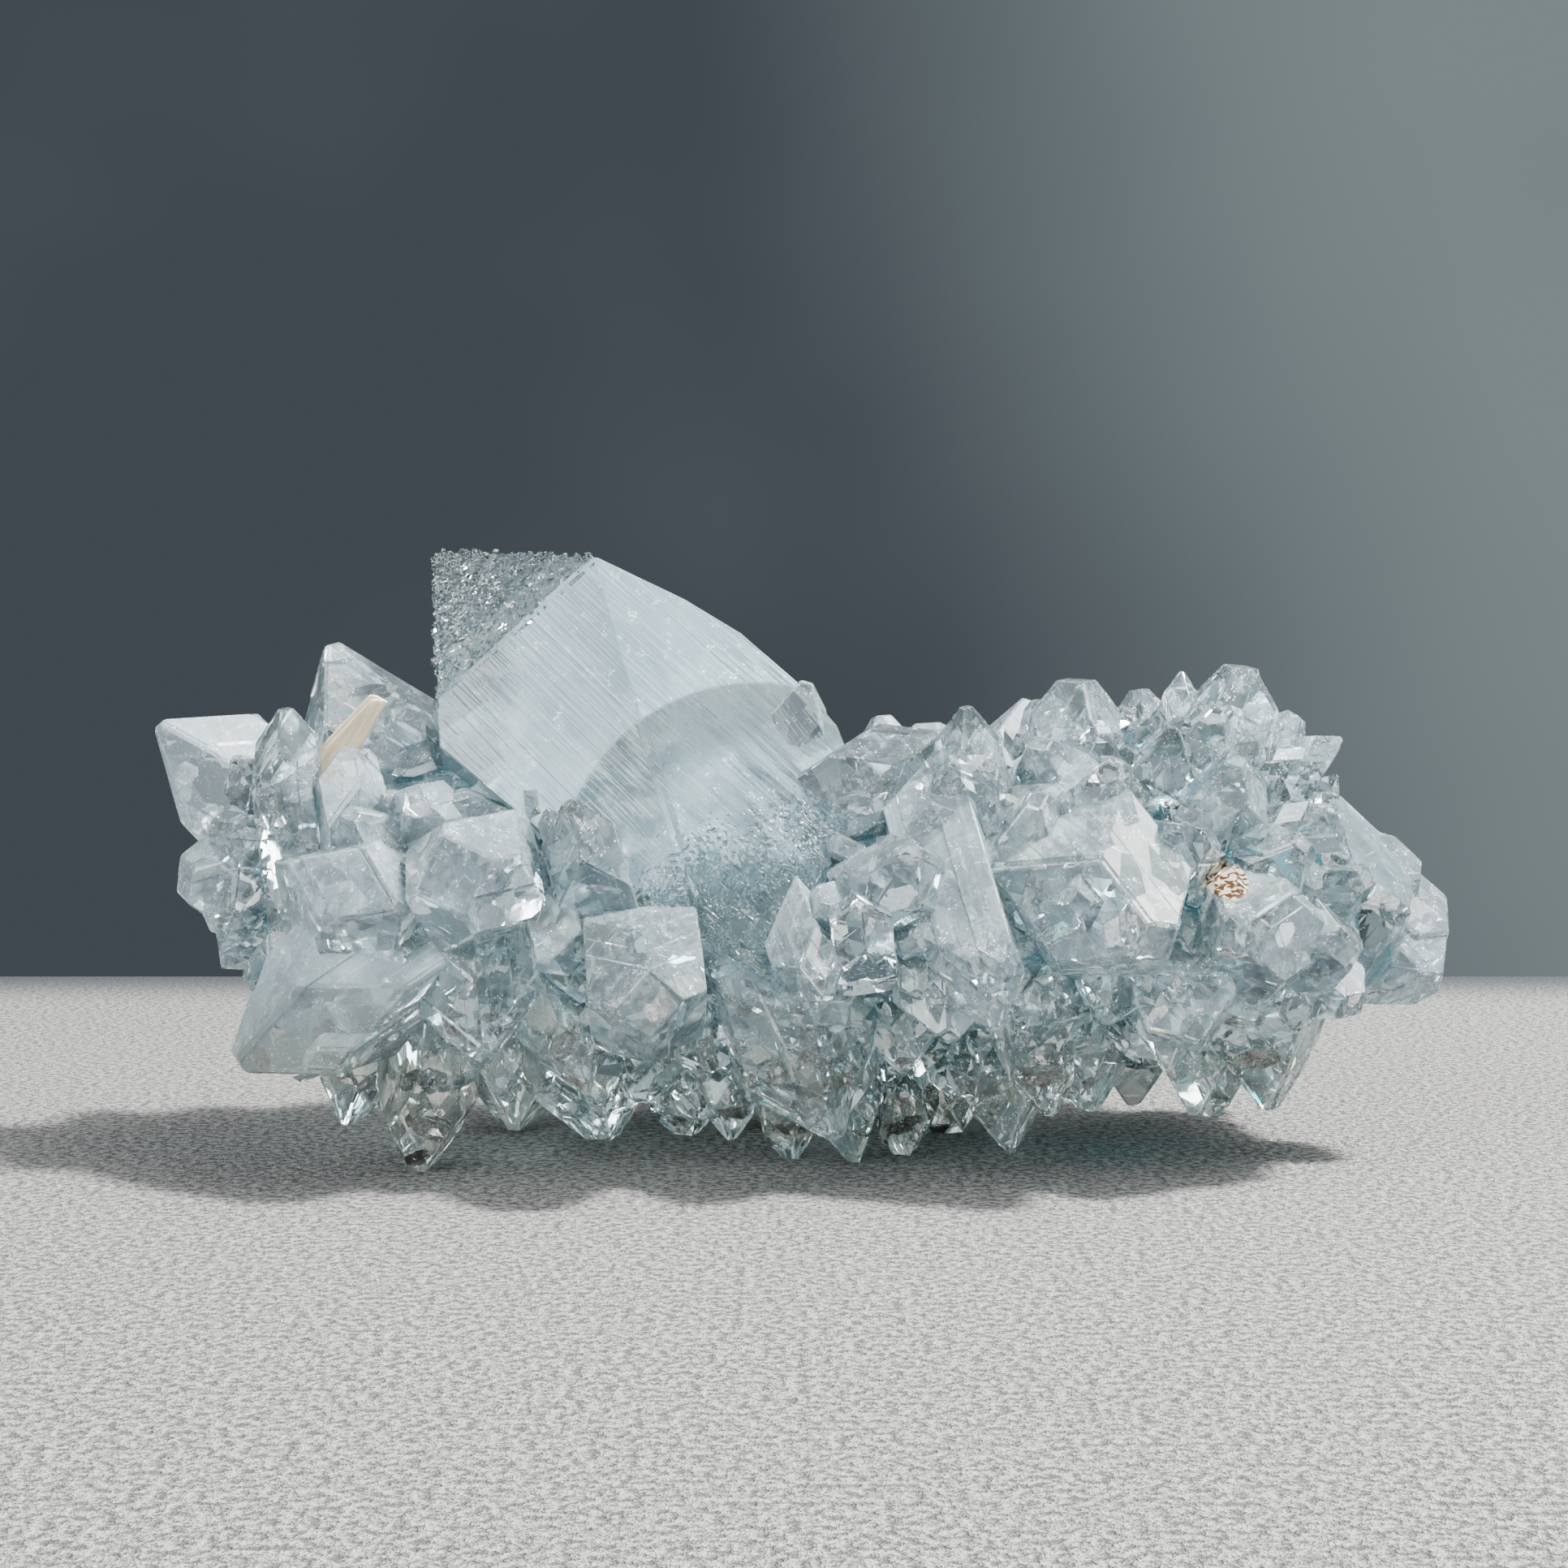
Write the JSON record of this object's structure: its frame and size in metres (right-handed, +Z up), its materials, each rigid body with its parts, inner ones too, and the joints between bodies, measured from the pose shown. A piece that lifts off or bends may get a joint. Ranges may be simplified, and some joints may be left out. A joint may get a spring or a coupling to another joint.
{
  "type": "apophyllite crystal cluster",
  "caption": "Elongated free-standing cluster of clear to milky tetragonal apophyllite crystals around a large striated crystal, with a small stilbite blade; a display mineral specimen.",
  "frame": {"origin": "middle of the footprint, on the surface that the cluster rests on", "axes": "+X along the cluster towards its lower, blunt end; +Y from the front to the back; +Z up"},
  "size_m": [0.099, 0.0472, 0.047],
  "materials": {
    "apophyllite": "clear to milky natural crystal with a glassy lustre and a faint blue-green tint; milky white inside the large crystal",
    "stilbite": null
  },
  "bodies": {
    "root": {"apophyllite_cluster": "apophyllite", "stilbite_blade": "stilbite"}
  },
  "joints": []
}
